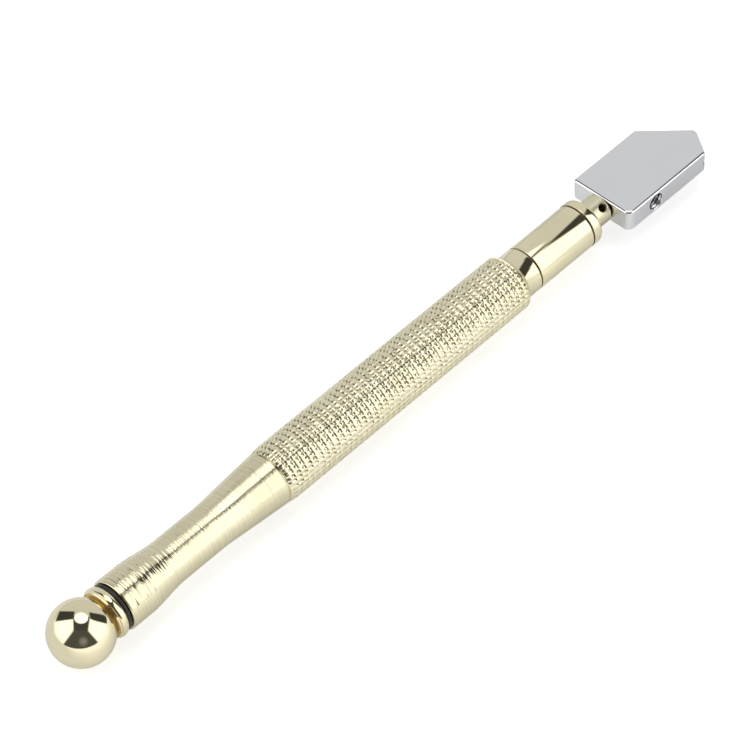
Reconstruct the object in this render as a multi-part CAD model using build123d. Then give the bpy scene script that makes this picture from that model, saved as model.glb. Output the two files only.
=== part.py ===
from build123d import *
import math
import os

# Oil-fed glass cutter with a brass pencil handle, in millimetres.
# The tool lies along +X, from its ball end to its cutting wheel, with the flat face of the
# cutting head up (+Z). It rests on the ball and on the knurled grip, so Z = 0 is the surface
# that it lies on. The origin is the middle of its footprint.
# Every station called *_x is first measured from the centre of the ball, along the handle's
# axis. place() then moves a finished piece into the part's own frame.

# ---- driving dimensions -------------------------------------------------------------------

running_gap = 0.05          # radial clearance of a piece that turns or slides in another

# ball cap and its seal
ball_r = 6.5
cap_neck_r = 4.0            # the short neck between the ball and the flange
flange_lip_x = 5.45         # sharp rear lip of the flange
flange_lip_r = 5.1
flange_dish = 0.4           # how far the flange's rear face is hollowed behind its lip
flange_middle_x = 6.35
flange_r = 5.36
flange_front_r = 4.9
seal_x = 7.3                # rear face of the rubber ring
tail_x = 8.25               # rear face of the barrel, front face of the rubber ring
seal_outer_r = 5.02
seal_corner_r = 0.33
stud_r = 4.0                # M8 x 0.75 filler thread
stud_length = 6.0
stud_undercut_r = 3.5
stud_undercut_length = 0.7
thread_chamfer = 0.5

# barrel
tail_r = 5.42
tail_edge = 0.35
tail_end_x = 13.0
waist_start_x = 22.3
waist_r = 4.6
waist_end_x = 32.5
knurl_start_x = 48.7
knurl_r = 5.95
knurl_rear_r = 5.65
knurl_rear_rise = 1.2       # length over which the knurl comes up to its full radius
knurl_end_x = 116.2
knurl_shoulder = 1.6
front_r = 4.85
groove_depth = 0.3
groove_half_width = 0.3
joint_line_x = 119.1        # where the nose sleeve meets the barrel
reservoir_r = 3.4
reservoir_end_x = 118.4
filler_depth = 7.6
barrel_spigot_r = 4.0
barrel_spigot_end_x = 124.6
valve_bore_r = 2.6

# nose sleeve and nose ring
ring_line_x = 134.2         # where the nose ring meets the sleeve
nose_end_x = 136.75
nose_ring_r = 4.93
nose_round_r = 0.9
sleeve_shoulder_x = 125.7
chamber_r = 3.75
ring_thread_r = 4.0
ring_thread_rear_x = 130.4
nose_seal_x = 134.6
nose_seal_width = 1.2
nose_seal_r = 3.85

# valve
gasket_thickness = 0.3
plug_flange_r = 3.9
plug_flange_thickness = 0.8
plug_rear_x = 120.6
plug_hole_r = 0.9
disc_thickness = 0.8
disc_r = 1.7
retainer_thickness = 0.8
retainer_r = 1.2
valve_pin_r = 0.45
valve_pin_tail = 0.4
valve_pin_plug_length = 2.0
valve_pin_flat = 0.7        # half the width across the flats that let the oil past
washer_thickness = 0.3
washer_inner_r = 2.35
washer_outer_r = 3.5

# neck, spigot and wick
neck_r = 3.1
neck_end_x = 141.3
neck_edge = 0.4
collar_r = 3.68
collar_length = 1.4
neck_tail_r = 2.2
neck_rear_x = 126.6
oil_bore_r = 1.0
oil_bore_end_x = 140.7
outlet_x = 139.8            # hole that lets the oil out behind the head
outlet_r = 0.75
outlet_countersink_r = 1.05
outlet_angle = 50.0         # degrees above the horizontal, on the -Y side
wick_r = 0.92
wick_end_x = 138.9
shoulder_r = 2.0
shoulder_end_x = 141.5
spigot_r = 1.6
spigot_end_x = 153.0
spring_wire_r = 0.225
spring_coil_r = 2.9
spring_turns = 3.5

# cutting head
head_x = 141.6              # rear face
head_width = 14.5
head_thickness = 5.0
head_short_side = 18.2      # length of the +Y side
head_long_side = 22.7       # length of the -Y side, with the set screw
tip_length = 26.4           # to the point where the two slanted edges would meet
tip_offset = -1.65          # the wheel trails the swivel axis to the -Y side
tip_cut = 0.35
rear_corner_r = 1.5         # rear corner on the set screw's side
far_corner_r = 0.6          # rear corner on the other side
side_corner_r = 0.8
tip_corner_r = 0.45
head_bevel = 0.3
spigot_bore_depth = 12.0
wheel_slot_half = 0.6
wheel_slot_rear = 22.3
wheel_centre = 24.6
wheel_r = 2.0
wheel_half = 0.55
wheel_land_r = 1.75
wheel_bore_r = 0.55
axle_r = 0.5
axle_top_cover = 0.7        # metal left over the blind end of the axle's hole

# set screw
screw_x = 8.0               # from the head's rear face
screw_hole_r = 1.8          # mean radius of an M4 thread
screw_hole_mouth_r = 1.95
screw_r = 1.75
screw_recess = 0.8
screw_length = 3.0
screw_slot_width = 0.6
screw_slot_depth = 0.7
screw_turn = -49.0          # which way the slot happens to point, in degrees
screw_tip_r = 0.6
screw_tip_reach = 1.1       # how near the tip comes to the swivel axis
track_floor_r = 1.0
track_gap = 0.05
swivel_limit = 10.0         # degrees each way
track_spare = 0.5           # degrees of the track beyond the swivel limit

overall_rear_x = -ball_r
overall_front_x = head_x + wheel_centre + wheel_r
middle_x = (overall_rear_x + overall_front_x) / 2
far = 20.0                  # longer than any cut needs


# ---- helpers ------------------------------------------------------------------------------

def turned(outline):
    """A solid of revolution about the handle's axis from (x, radius) points joined in order."""
    face = make_face(Polyline(*outline, close=True))
    return revolve(face, Axis.X)


def rod(radius, start, end):
    """A round bar on the handle's axis from one station to another."""
    bar = Cylinder(radius, end - start, align=(Align.CENTER, Align.CENTER, Align.MIN))
    return Pos(start, 0, 0) * Rot(0, 90, 0) * bar


def tube(outer, inner, start, end):
    """A round bar with a hole through it."""
    return rod(outer, start, end) - rod(inner, start - 1, end + 1)


def place(piece):
    """Moves a piece from ball-centred stations to the part's own frame."""
    return Pos(-middle_x, 0, ball_r) * piece


def save(name, piece):
    """Writes one piece as a STEP file named after its node."""
    solids = piece.solids()
    body = solids[0] if len(solids) == 1 else Compound(children=list(solids))
    body.label = name
    export_step(place(body), os.path.join("parts", name + ".step"))


# ---- ball cap -----------------------------------------------------------------------------

def ball_cap():
    """Polished ball with a flange and the filler stud that screws into the barrel's tail."""
    stud_end = tail_x + stud_length
    rear_x = ball_r / 2
    with BuildPart() as flange:
        with BuildSketch(Plane.XY):
            with BuildLine():
                neck_side = Polyline(
                    (rear_x, 0), (rear_x, cap_neck_r), (flange_lip_x + flange_dish, cap_neck_r))
                dish = Line(neck_side @ 1, (flange_lip_x, flange_lip_r))
                rim = ThreePointArc(
                    dish @ 1, (flange_middle_x, flange_r), (seal_x, flange_front_r))
                stud = Polyline(
                    rim @ 1,
                    (seal_x, stud_undercut_r),
                    (seal_x + stud_undercut_length, stud_undercut_r),
                    (seal_x + stud_undercut_length, seal_inner_r() - running_gap),
                    (tail_x, seal_inner_r() - running_gap),
                    (tail_x + 0.3, stud_r - running_gap),
                    (stud_end - thread_chamfer, stud_r - running_gap),
                    (stud_end, stud_r - running_gap - thread_chamfer),
                    (stud_end, 0),
                )
                Line(stud @ 1, neck_side @ 0)
            make_face()
        revolve(axis=Axis.X)
    return Sphere(ball_r) + flange.part


def seal_inner_r():
    """The rubber ring grips the stud just behind its thread."""
    return stud_r - 0.1


def cap_o_ring():
    """Rubber ring squeezed between the flange and the barrel's tail."""
    section = Pos((seal_x + tail_x) / 2, (seal_outer_r + seal_inner_r()) / 2) * RectangleRounded(
        tail_x - seal_x, seal_outer_r - seal_inner_r(), seal_corner_r)
    return revolve(section, Axis.X)


# ---- barrel and nose ----------------------------------------------------------------------

def barrel():
    """Brass handle: flared tail, waist, knurled grip and front land, hollow for the oil."""
    with BuildPart() as made:
        with BuildSketch(Plane.XY) as outline:
            with BuildLine():
                rear = Line((tail_x, 0), (tail_x, tail_r - tail_edge))
                edge = Line(rear @ 1, (tail_x + tail_edge, tail_r))
                tail = Line(edge @ 1, (tail_end_x, tail_r))
                flare = Spline(tail @ 1, (waist_start_x, waist_r), tangents=((1, 0), (1, 0)))
                waist = Line(flare @ 1, (waist_end_x, waist_r))
                taper = Spline(
                    waist @ 1,
                    ((waist_end_x + knurl_start_x) / 2, (waist_r + knurl_rear_r) / 2),
                    (knurl_start_x, knurl_rear_r),
                    tangents=((1, 0.03), (1, 0.07)),
                )
                step = Line(taper @ 1, (knurl_start_x + knurl_rear_rise, knurl_r))
                grip = Line(step @ 1, (knurl_end_x - knurl_shoulder, knurl_r))
                shoulder = Spline(
                    grip @ 1, (knurl_end_x, front_r), tangents=((1, 0), (0.35, -1)))
                land = Line(shoulder @ 1, (joint_line_x - groove_half_width, front_r))
                groove = Line(land @ 1, (joint_line_x, front_r - groove_depth))
                face = Line(groove @ 1, (joint_line_x, barrel_spigot_r))
                spigot = Line(
                    face @ 1, (barrel_spigot_end_x - thread_chamfer, barrel_spigot_r))
                nose = Line(
                    spigot @ 1, (barrel_spigot_end_x, barrel_spigot_r - thread_chamfer))
                front = Line(nose @ 1, (barrel_spigot_end_x, 0))
                Line(front @ 1, rear @ 0)
            make_face()
        revolve(axis=Axis.X)
    hollow = turned([
        (tail_x - 1, 0),
        (tail_x - 1, stud_r + thread_chamfer),
        (tail_x, stud_r + thread_chamfer),
        (tail_x + thread_chamfer, stud_r),
        (tail_x + filler_depth, stud_r),
        (tail_x + filler_depth + stud_r - reservoir_r, reservoir_r),
        (reservoir_end_x - reservoir_r + valve_bore_r, reservoir_r),
        (reservoir_end_x, valve_bore_r),
        (barrel_spigot_end_x + 1, valve_bore_r),
        (barrel_spigot_end_x + 1, 0),
    ])
    return made.part - hollow


def nose_sleeve():
    """Polished front sleeve, screwed onto the barrel, that holds the valve and its spring."""
    return turned([
        (joint_line_x, barrel_spigot_r),
        (joint_line_x, front_r - groove_depth),
        (joint_line_x + groove_half_width, front_r),
        (ring_line_x - groove_half_width, front_r),
        (ring_line_x, front_r - groove_depth),
        (ring_line_x, ring_thread_r),
        (ring_thread_rear_x, ring_thread_r),
        (ring_thread_rear_x, chamber_r),
        (sleeve_shoulder_x, chamber_r),
        (sleeve_shoulder_x, barrel_spigot_r),
    ])


def nose_ring():
    """Rounded front ring, screwed into the sleeve, that guides the neck."""
    bore_r = neck_r + running_gap
    seal_end = nose_seal_x + nose_seal_width
    body = turned([
        (ring_thread_rear_x, bore_r),
        (ring_thread_rear_x, ring_thread_r - thread_chamfer / 2),
        (ring_thread_rear_x + thread_chamfer / 2, ring_thread_r),
        (ring_line_x, ring_thread_r),
        (ring_line_x, front_r - groove_depth),
        (ring_line_x + groove_half_width, nose_ring_r),
        (nose_end_x, nose_ring_r),
        (nose_end_x, bore_r + 0.2),
        (nose_end_x - 0.2, bore_r),
        (seal_end, bore_r),
        (seal_end, nose_seal_r),
        (nose_seal_x, nose_seal_r),
        (nose_seal_x, bore_r),
    ])
    rim = body.edges().filter_by(GeomType.CIRCLE).group_by(Axis.X)[-1].sort_by(SortBy.RADIUS)[-1]
    return fillet(rim, nose_round_r)


def nose_o_ring():
    """Rubber ring inside the nose ring that wipes the neck."""
    inner = neck_r + running_gap / 2
    section = Pos(nose_seal_x + nose_seal_width / 2, (inner + nose_seal_r) / 2) * RectangleRounded(
        nose_seal_width, nose_seal_r - inner, seal_corner_r)
    return revolve(section, Axis.X)


# ---- valve --------------------------------------------------------------------------------

plug_flange_x = barrel_spigot_end_x + gasket_thickness
plug_front_x = plug_flange_x + plug_flange_thickness
collar_front_x = ring_thread_rear_x
collar_rear_x = collar_front_x - collar_length


def plug_gasket():
    """Fibre washer that seals the valve plug against the barrel."""
    return tube(plug_flange_r, valve_bore_r, barrel_spigot_end_x, plug_flange_x)


def valve_plug():
    """Brass plug with the valve's hole, clamped between the barrel and the sleeve."""
    body_r = valve_bore_r - running_gap
    body = rod(body_r, plug_rear_x, plug_flange_x) + rod(plug_flange_r, plug_flange_x, plug_front_x)
    return body - rod(plug_hole_r, plug_rear_x - 1, plug_front_x + 1)


def valve_disc():
    """Rubber disc that closes the valve's hole from the oil's side."""
    return tube(disc_r, valve_pin_r, plug_rear_x - disc_thickness, plug_rear_x)


def disc_retainer():
    """Collar pressed onto the valve pin behind the rubber disc."""
    front = plug_rear_x - disc_thickness
    return tube(retainer_r, valve_pin_r, front - retainer_thickness, front)


def valve_pin():
    """Pin that carries the disc, with a flatted plug pressed into the neck's oil bore."""
    rear = plug_rear_x - disc_thickness - retainer_thickness - valve_pin_tail
    stem = rod(valve_pin_r, rear, neck_rear_x + 0.5)
    plug = rod(oil_bore_r, neck_rear_x, neck_rear_x + valve_pin_plug_length)
    band = Box(far, 2 * valve_pin_flat, far)
    return stem + (plug & Pos(neck_rear_x, 0, 0) * band)


def spring_washer():
    """Steel washer that the spring bears on."""
    return tube(washer_outer_r, washer_inner_r, plug_front_x, plug_front_x + washer_thickness)


def valve_spring():
    """Compression spring that pushes the neck and head forward."""
    start = plug_front_x + washer_thickness + spring_wire_r
    end = collar_rear_x - spring_wire_r
    pitch = (end - start) / spring_turns
    path = Pos(start, 0, 0) * Rot(0, 90, 0) * Helix(pitch, end - start, spring_coil_r)
    section = Plane(path @ 0, z_dir=path % 0) * Circle(spring_wire_r)
    return sweep(section, path, is_frenet=True)


# ---- neck ---------------------------------------------------------------------------------

def radial(angle, piece):
    """Turns a piece built along +Z about the handle's axis, angle degrees up from -Y."""
    return Rot(90 - angle, 0, 0) * piece


def neck():
    """Sliding brass neck: spring collar, oil bore, oil outlet and the spigot for the head."""
    body = turned([
        (neck_rear_x, 0),
        (neck_rear_x, neck_tail_r),
        (collar_rear_x, neck_tail_r),
        (collar_rear_x, collar_r),
        (collar_front_x, collar_r),
        (collar_front_x, neck_r),
        (neck_end_x - neck_edge, neck_r),
        (neck_end_x, neck_r - neck_edge),
        (neck_end_x, shoulder_r),
        (shoulder_end_x, shoulder_r),
        (shoulder_end_x, spigot_r),
        (spigot_end_x - 0.4, spigot_r),
        (spigot_end_x, spigot_r - 0.4),
        (spigot_end_x, 0),
    ])
    bore = rod(oil_bore_r, neck_rear_x - 1, oil_bore_end_x)
    sink = outlet_countersink_r - outlet_r
    hole = Cylinder(outlet_r, far, align=(Align.CENTER, Align.CENTER, Align.MIN))
    mouth = Pos(0, 0, neck_r - sink) * Cone(
        outlet_r, outlet_countersink_r + sink, 2 * sink, align=(Align.CENTER, Align.CENTER, Align.MIN))
    outlet = Pos(outlet_x, 0, 0) * radial(outlet_angle, hole + mouth)
    return body - bore - outlet - screw_track()


def screw_track():
    """Short slot round the spigot: the set screw's tip runs in it and limits the swivel."""
    half = swivel_limit + track_spare
    station = head_x + screw_x
    width = 2 * (screw_tip_r + track_gap)
    cutter = Pos(0, 0, track_floor_r) * Cylinder(
        width / 2, far, align=(Align.CENTER, Align.CENTER, Align.MIN))
    ring = Rot(0, 90, 0) * (Cylinder(spigot_r + 1, width) - Cylinder(track_floor_r, width))
    reach = spigot_r + 2
    spread = reach * math.tan(math.radians(half))
    wedge = make_face(Polyline((0, 0), (spread, reach), (-spread, reach), close=True))
    sector = ring & (Rot(0, 0, 180) * Rot(0, -90, 0) * extrude(wedge, width, both=True))
    track = sector + radial(half, cutter) + radial(-half, cutter)
    return Pos(station, 0, 0) * track


def feed_wick():
    """Cotton wick in the neck's bore that holds the oil back to a film."""
    return rod(wick_r, neck_rear_x + valve_pin_plug_length, wick_end_x)


# ---- cutting head -------------------------------------------------------------------------

def head_outline():
    """Five-sided plan of the head, with its tip cut short and its corners rounded."""
    half = head_width / 2
    short_run = tip_length - head_short_side
    long_run = tip_length - head_long_side
    cut_x = head_x + tip_length - tip_cut
    cut_up = tip_offset + tip_cut * (half - tip_offset) / short_run
    cut_down = tip_offset - tip_cut * (half + tip_offset) / long_run
    plan = make_face(Polyline(
        (head_x, -half),
        (head_x + head_long_side, -half),
        (cut_x, cut_down),
        (cut_x, cut_up),
        (head_x + head_short_side, half),
        (head_x, half),
        close=True,
    ))
    plan = fillet(near(plan, head_x, -half), rear_corner_r)
    plan = fillet(near(plan, head_x, half), far_corner_r)
    plan = fillet(near(plan, head_x + head_long_side, -half), side_corner_r)
    plan = fillet(near(plan, head_x + head_short_side, half), side_corner_r)
    plan = fillet(near(plan, cut_x, cut_down), tip_corner_r)
    return fillet(near(plan, cut_x, cut_up), tip_corner_r)


def near(plan, x, y):
    """The corner of a plan outline at a given point."""
    return plan.vertices().sort_by_distance((x, y, 0))[0]


def head_block():
    """Chromed block with the spigot's bore, the set screw's hole and the wheel's slot."""
    half = head_width / 2
    low = -head_thickness / 2
    block = Pos(0, 0, low) * extrude(head_outline(), head_thickness)
    rims = block.edges().group_by(Axis.Z)
    block = chamfer(rims[0] + rims[-1], head_bevel)
    block -= rod(spigot_r + running_gap, head_x - 1, head_x + spigot_bore_depth)
    hole = Cylinder(screw_hole_r, far, align=(Align.CENTER, Align.CENTER, Align.MIN))
    tip_hole = Cylinder(screw_tip_r + 0.2, far, align=(Align.CENTER, Align.CENTER, Align.MIN))
    sink = screw_hole_mouth_r - screw_hole_r
    mouth = Pos(0, 0, half - sink) * Cone(
        screw_hole_r, screw_hole_mouth_r + sink, 2 * sink,
        align=(Align.CENTER, Align.CENTER, Align.MIN))
    screw_end = half - screw_recess - screw_length
    bores = Pos(0, 0, screw_end - 0.2) * hole + tip_hole + mouth
    block -= Pos(head_x + screw_x, 0, 0) * radial(0, bores)
    slot = Box(far, 2 * head_width, 2 * wheel_slot_half, align=(Align.MIN, Align.CENTER, Align.CENTER))
    block -= Pos(head_x + wheel_slot_rear, 0, 0) * slot
    return block - axle_pin()


def axle_pin():
    """Steel axle pressed in from below, blind under the head's top face."""
    low = -head_thickness / 2
    length = head_thickness - axle_top_cover
    pin = Cylinder(axle_r, length, align=(Align.CENTER, Align.CENTER, Align.MIN))
    return Pos(head_x + wheel_centre, tip_offset, low) * pin


def cutting_wheel():
    """Carbide wheel with its edge ground to a shallow vee."""
    face = make_face(Polyline(
        (wheel_bore_r, -wheel_half),
        (wheel_land_r, -wheel_half),
        (wheel_r, 0),
        (wheel_land_r, wheel_half),
        (wheel_bore_r, wheel_half),
        close=True,
    ))
    wheel = revolve(Plane.XZ * face, Axis.Z)
    return Pos(head_x + wheel_centre, tip_offset, 0) * wheel


def set_screw():
    """Slotted screw in the head's side, whose tip runs in the spigot's track."""
    half = head_width / 2
    outer = half - screw_recess
    inner = outer - screw_length
    along = (Align.CENTER, Align.CENTER, Align.MIN)
    body = Pos(0, 0, inner) * Cylinder(screw_r, screw_length, align=along)
    body = chamfer(body.edges().group_by(Axis.Z)[-1], 0.25)
    tip = Pos(0, 0, screw_tip_reach) * Cylinder(screw_tip_r, inner - screw_tip_reach, align=along)
    slot = Pos(0, 0, outer - screw_slot_depth) * Box(screw_slot_width, far, far, align=along)
    return Pos(head_x + screw_x, 0, 0) * radial(0, Rot(0, 0, screw_turn) * (body + tip - slot))


# ---- write every piece --------------------------------------------------------------------

os.makedirs("parts", exist_ok=True)

pieces = {
    "ball_cap": ball_cap,
    "cap_o_ring": cap_o_ring,
    "barrel": barrel,
    "nose_sleeve": nose_sleeve,
    "nose_ring": nose_ring,
    "nose_o_ring": nose_o_ring,
    "plug_gasket": plug_gasket,
    "valve_plug": valve_plug,
    "valve_disc": valve_disc,
    "disc_retainer": disc_retainer,
    "valve_pin": valve_pin,
    "spring_washer": spring_washer,
    "valve_spring": valve_spring,
    "neck": neck,
    "feed_wick": feed_wick,
    "head_block": head_block,
    "axle_pin": axle_pin,
    "cutting_wheel": cutting_wheel,
    "set_screw": set_screw,
}

for name, make in pieces.items():
    save(name, make())
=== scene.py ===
import math
import random
import bpy
from mathutils import Matrix, Vector


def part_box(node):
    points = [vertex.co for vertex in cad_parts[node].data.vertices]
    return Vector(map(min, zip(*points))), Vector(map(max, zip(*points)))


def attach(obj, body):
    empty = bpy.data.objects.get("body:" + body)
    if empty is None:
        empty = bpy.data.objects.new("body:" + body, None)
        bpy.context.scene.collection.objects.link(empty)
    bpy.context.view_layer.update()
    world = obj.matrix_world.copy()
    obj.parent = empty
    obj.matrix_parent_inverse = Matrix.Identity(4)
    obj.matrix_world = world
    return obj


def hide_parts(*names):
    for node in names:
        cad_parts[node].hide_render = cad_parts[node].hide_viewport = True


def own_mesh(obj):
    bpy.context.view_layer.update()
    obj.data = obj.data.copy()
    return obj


# Oil-fed glass cutter, lying on a pale floor. The scene is in metres, in the frame of the CAD
# model. Sizes are in millimetres, with stations along the handle measured from the ball's
# centre, and at() turns them into points of the frame. The outer pieces and the valve spring are
# fine meshes that ride on the CAD bodies they belong to. The other inner pieces, the wheel and
# its axle are the CAD's own, with a material each.

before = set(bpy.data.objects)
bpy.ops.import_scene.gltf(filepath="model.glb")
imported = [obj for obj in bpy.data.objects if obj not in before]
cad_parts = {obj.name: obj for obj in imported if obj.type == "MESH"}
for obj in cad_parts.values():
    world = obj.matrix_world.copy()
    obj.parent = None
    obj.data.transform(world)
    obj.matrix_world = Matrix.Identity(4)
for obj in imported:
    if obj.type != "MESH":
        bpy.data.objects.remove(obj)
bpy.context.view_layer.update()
mm = 0.001
random.seed(7)


# ---- sizes from the frame -----------------------------------------------------------------

def half_width(node):
    """Half the width of a CAD node across the handle, in millimetres."""
    low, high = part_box(node)
    return (high.y - low.y) / 2 / mm


cap_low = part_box("ball_cap")[0]
ball_r = half_width("ball_cap")
ball_x = cap_low.x + ball_r * mm
axis_z = cap_low.z + ball_r * mm


def rear(node):
    """Station of the rear end of a CAD node."""
    return (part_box(node)[0].x - ball_x) / mm


def front(node):
    """Station of the front end of a CAD node."""
    return (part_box(node)[1].x - ball_x) / mm


tail_x = rear("barrel")
seal_x = rear("cap_o_ring")
seal_r = half_width("cap_o_ring")
stud_end_x = front("ball_cap")
joint_x = rear("nose_sleeve")
spigot_end_x = front("barrel")
ring_rear_x = rear("nose_ring")
nose_end_x = front("nose_ring")
neck_rear_x = rear("neck")
neck_front_x = front("neck")
head_x = rear("head_block")
grip_r = half_width("barrel")
sleeve_r = half_width("nose_sleeve")
ring_r = half_width("nose_ring")
collar_r = half_width("neck")
head_half = half_width("head_block")
head_thick = (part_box("head_block")[1].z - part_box("head_block")[0].z) / mm
wheel_low, wheel_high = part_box("cutting_wheel")
wheel_x = ((wheel_low.x + wheel_high.x) / 2 - ball_x) / mm
wheel_y = (wheel_low.y + wheel_high.y) / 2 / mm
screw_low, screw_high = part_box("set_screw")
screw_x = ((screw_low.x + screw_high.x) / 2 - ball_x) / mm
screw_outer = -screw_low.y / mm
screw_r = (screw_high.x - screw_low.x) / 2 / mm

# ball cap
cap_neck_r = 4.0
cove_rear_x = 4.9
cove_front_x = 5.95
cove_r = 4.98
flange_lip_x = 5.45
flange_lip_r = 5.07
flange_dish_x = 5.86        # the flange's rear face is hollowed to here
flange_step_x = 5.62
flange_step_r = 5.22
flange_middle_x = 6.35
flange_r = 5.36
flange_front_r = 4.9
stud_r = 4.0
stud_pitch = 0.75
stud_undercut_r = 3.5
stud_undercut_length = 0.7
thread_depth = 0.35

# handle
filler_end_x = 15.85        # where the filler thread ends in the barrel
tail_r = 5.42
tail_end_x = 13.0
waist_start_x = 22.3
waist_r = 4.6
waist_end_x = 32.5
knurl_start_x = 48.7
knurl_rear_r = 5.65
knurl_pitch = 1.454         # from ring to ring
knurl_columns = 33
ring_depth = 0.15           # of the grooves round the grip
ring_groove = 0.16          # flat part of a ring's pitch in its groove
ring_crest = 0.40           # and on its crest
column_depth = 0.11         # of the lines along it
column_groove = 0.14
column_crest = 0.46
rough_cut_depth = 0.03      # below this the knurl's faces are rougher than its crests
oil_and_shade_depth = 0.2            # and below this they are dark with oil and painted shade
knurl_end_x = 115.4
knurl_shoulder = 0.6
groove_depth = 0.3
groove_half = 0.22
painted_shade_reach = 0.16          # how far the painted shade in a groove reaches from its middle
barrel_spigot_r = 4.0
valve_bore_r = 2.6
reservoir_r = 3.4
reservoir_end_x = 118.4

# valve spring
spring_wire_r = 0.22
spring_coil_r = 2.9
spring_turns = 3.5
face_gap = 0.02             # keeps apart faces that would only just meet

# nose, neck and head
ring_line_x = front("nose_sleeve")
ring_thread_r = 4.0
chamber_r = 3.75
sleeve_shoulder_x = 125.7
wiper_rear_x = 134.6        # groove for the seal round the neck
wiper_front_x = 135.8
wiper_r = 3.85
nose_round_r = 0.9
neck_tail_r = 2.2
collar_rear_x = 129.0
oil_bore_r = 0.95
oil_bore_end_x = 140.7
neck_r = 3.1
neck_end_x = 141.3
shoulder_r = 2.0
shoulder_end_x = 141.5
spigot_r = 1.6
outlet_x = 139.8
outlet_r = 0.75
outlet_angle = 50.0
head_short_side = 18.2
head_long_side = 22.7
tip_length = 26.4
tip_cut = 0.35
near_corner_r = 1.5         # rear corner on the set screw's side
far_corner_r = 0.6
side_corner_r = 0.8
tip_corner_r = 0.4
spigot_bore_depth = 12.0
running_gap = 0.05
axle_r = 0.5
axle_cover = 0.7            # metal left over the blind end of the axle's hole
screw_hole_r = 1.8
screw_hole_depth = 3.2      # from the screw's outer end to the step in its hole
screw_pitch = 0.7
screw_length = 3.0
screw_tip_r = 0.6
screw_tip_hole_r = 0.8
screw_tip_reach = 1.1       # how near the tip comes to the handle's axis
screw_slot_depth = 0.7
screw_slot_half = 0.3
screw_turn = math.radians(41)
wheel_slot_half = 0.6
wheel_slot_rear = 22.3


def at(x, y=0.0, z=0.0):
    """A point from a station and offsets from the handle's axis, in millimetres."""
    return Vector((ball_x + x * mm, y * mm, axis_z + z * mm))


# ---- mesh helpers -------------------------------------------------------------------------

def make_object(name, verts, faces, sharp=35.0):
    """A smooth-shaded mesh object whose creases above an angle stay sharp."""
    mesh = bpy.data.meshes.new(name)
    mesh.from_pydata(verts, [], faces)
    mesh.validate()
    mesh.update()
    obj = bpy.data.objects.new(name, mesh)
    bpy.context.scene.collection.objects.link(obj)
    mesh.shade_smooth()
    if sharp:
        mesh.set_sharp_from_angle(angle=math.radians(sharp))
    return obj


def rounded(corners, steps=5):
    """An outline with some of its corners rounded: a corner is (x, r) or (x, r, radius)."""
    points = []
    count = len(corners)
    for i, corner in enumerate(corners):
        here = Vector(corner[:2])
        if len(corner) == 2 or corner[2] <= 0:
            points.append(here)
            continue
        before = (Vector(corners[i - 1][:2]) - here).normalized()
        after = (Vector(corners[(i + 1) % count][:2]) - here).normalized()
        half = before.angle(after) / 2
        reach = corner[2] / math.tan(half)
        centre = here + (before + after).normalized() * corner[2] / math.sin(half)
        start = here + before * reach - centre
        end = here + after * reach - centre
        turn = math.atan2(start.x * end.y - start.y * end.x, start.dot(end))
        for k in range(steps + 1):
            points.append(centre + Matrix.Rotation(turn * k / steps, 2) @ start)
    return [(p.x, p.y) for p in points]


def smooth_run(x0, r0, slope0, x1, r1, slope1, count):
    """Points between two stations on a smooth curve with given slopes, ends left out."""
    points = []
    length = x1 - x0
    for k in range(1, count):
        t = k / count
        a = 2 * t ** 3 - 3 * t ** 2 + 1
        b = t ** 3 - 2 * t ** 2 + t
        c = -2 * t ** 3 + 3 * t ** 2
        d = t ** 3 - t ** 2
        points.append((x0 + length * t, a * r0 + b * length * slope0 + c * r1 + d * length * slope1))
    return points


def even_turn(segments):
    """Evenly spaced angles once round."""
    return [2 * math.pi * k / segments for k in range(segments)]


def lathe(name, outline, angles=even_turn(128), ripple=None, sharp=35.0):
    """Turns a closed outline of (station, radius) points about the handle's axis.
    ripple(x, r, angle) gives a change of radius, for threads and knurling."""
    segments = len(angles)
    verts = []
    rings = []
    for x, r in outline:
        if r < 1e-6:
            rings.append([len(verts)])
            verts.append(at(x))
            continue
        rings.append(list(range(len(verts), len(verts) + segments)))
        for angle in angles:
            full = r + (ripple(x, r, angle) if ripple else 0.0)
            verts.append(at(x, full * math.sin(angle), full * math.cos(angle)))
    faces = []
    for i, ring in enumerate(rings):
        other = rings[(i + 1) % len(rings)]
        if len(ring) == 1 and len(other) == 1:
            continue
        for k in range(segments):
            n = (k + 1) % segments
            if len(ring) == 1:
                faces.append((ring[0], other[n], other[k]))
            elif len(other) == 1:
                faces.append((ring[k], ring[n], other[0]))
            else:
                faces.append((ring[k], ring[n], other[n], other[k]))
    return make_object(name, verts, faces, sharp)


def cut(target, cutters):
    """Takes the cutters out of the target, and removes them."""
    for cutter in cutters:
        step = target.modifiers.new("cut", "BOOLEAN")
        step.operation = "DIFFERENCE"
        step.solver = "EXACT"
        step.material_mode = "TRANSFER"
        step.object = cutter
    apply_modifiers(target)
    for cutter in cutters:
        bpy.data.objects.remove(cutter, do_unlink=True)


def apply_modifiers(obj):
    """Bakes an object's modifiers into its mesh."""
    graph = bpy.context.evaluated_depsgraph_get()
    mesh = bpy.data.meshes.new_from_object(obj.evaluated_get(graph))
    obj.modifiers.clear()
    obj.data = mesh


def crease(obj, angle):
    """Smooth shading with sharp creases above an angle, and flat faces kept flat."""
    obj.data.shade_smooth()
    obj.data.set_sharp_from_angle(angle=math.radians(angle))
    even = obj.modifiers.new("even", "WEIGHTED_NORMAL")
    even.mode = "FACE_AREA"
    even.weight = 90
    even.keep_sharp = True
    apply_modifiers(obj)


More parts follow.
